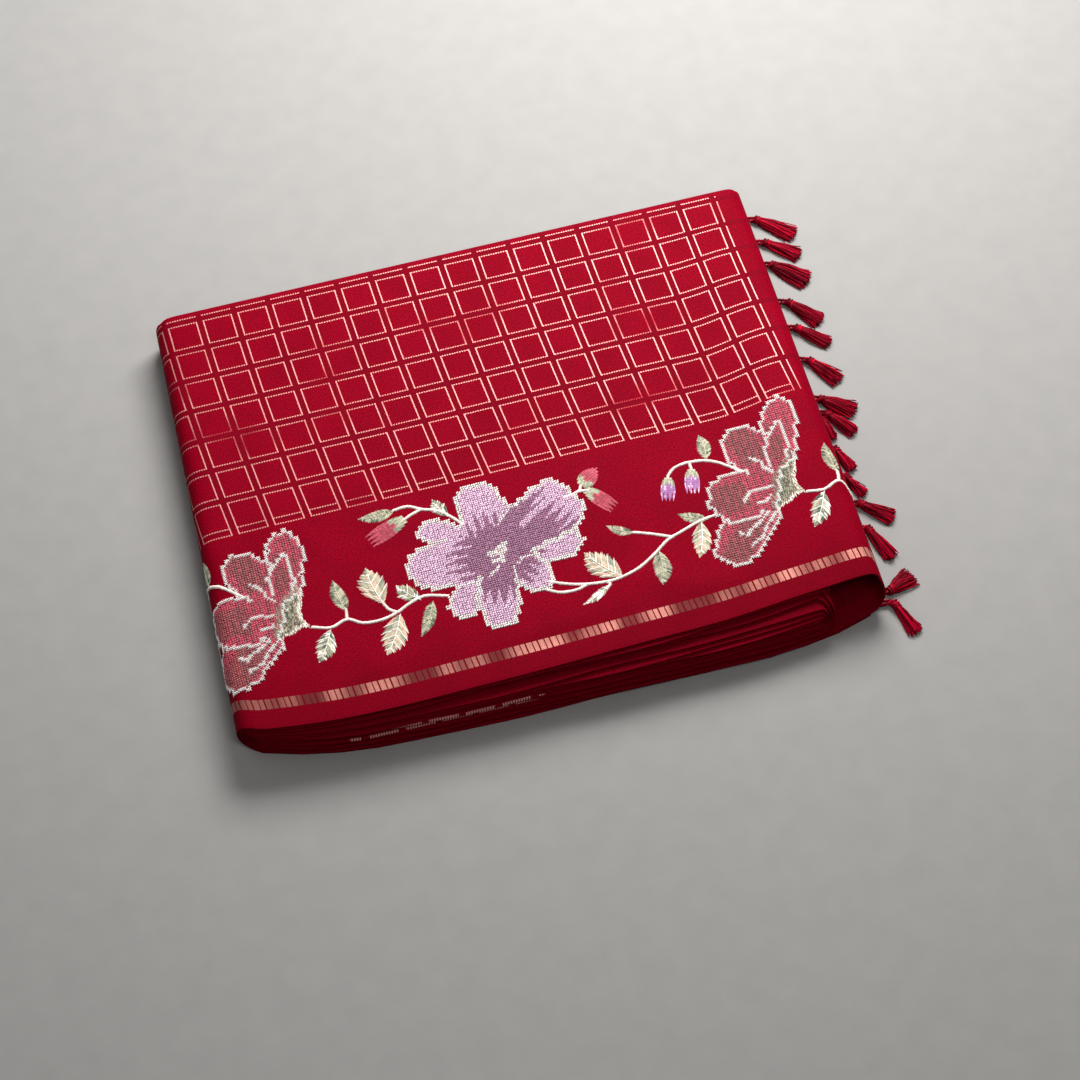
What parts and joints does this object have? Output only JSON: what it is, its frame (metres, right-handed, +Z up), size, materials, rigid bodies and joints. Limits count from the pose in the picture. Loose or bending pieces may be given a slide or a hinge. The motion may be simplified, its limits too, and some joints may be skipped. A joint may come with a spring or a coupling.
{
  "type": "folded silk sari",
  "caption": "Silk sari folded flat into a neat pack, its checked field and flowered border on top, with knotted tassels lying out from its lowest layer.",
  "frame": {"origin": "on the flat underside, near the middle of the pack, on the surface that it rests on", "axes": "+X along the flowered border towards the tassels, +Y from the border to the back fold, +Z up"},
  "size_m": [0.4344, 0.3274, 0.0299],
  "materials": {
    "sari_silk": "soft silk, slightly slubbed, with gold thread checks",
    "tassel_silk": "glossy twisted silk yarn"
  },
  "bodies": {
    "root": {"sari_cloth": "sari_silk", "tassel_01": "tassel_silk", "tassel_02": "tassel_silk", "tassel_03": "tassel_silk", "tassel_04": "tassel_silk", "tassel_05": "tassel_silk", "tassel_06": "tassel_silk", "tassel_07": "tassel_silk", "tassel_08": "tassel_silk", "tassel_09": "tassel_silk", "tassel_10": "tassel_silk", "tassel_11": "tassel_silk", "tassel_12": "tassel_silk", "tassel_13": "tassel_silk", "tassel_14": "tassel_silk", "tassel_15": "tassel_silk"}
  },
  "joints": []
}
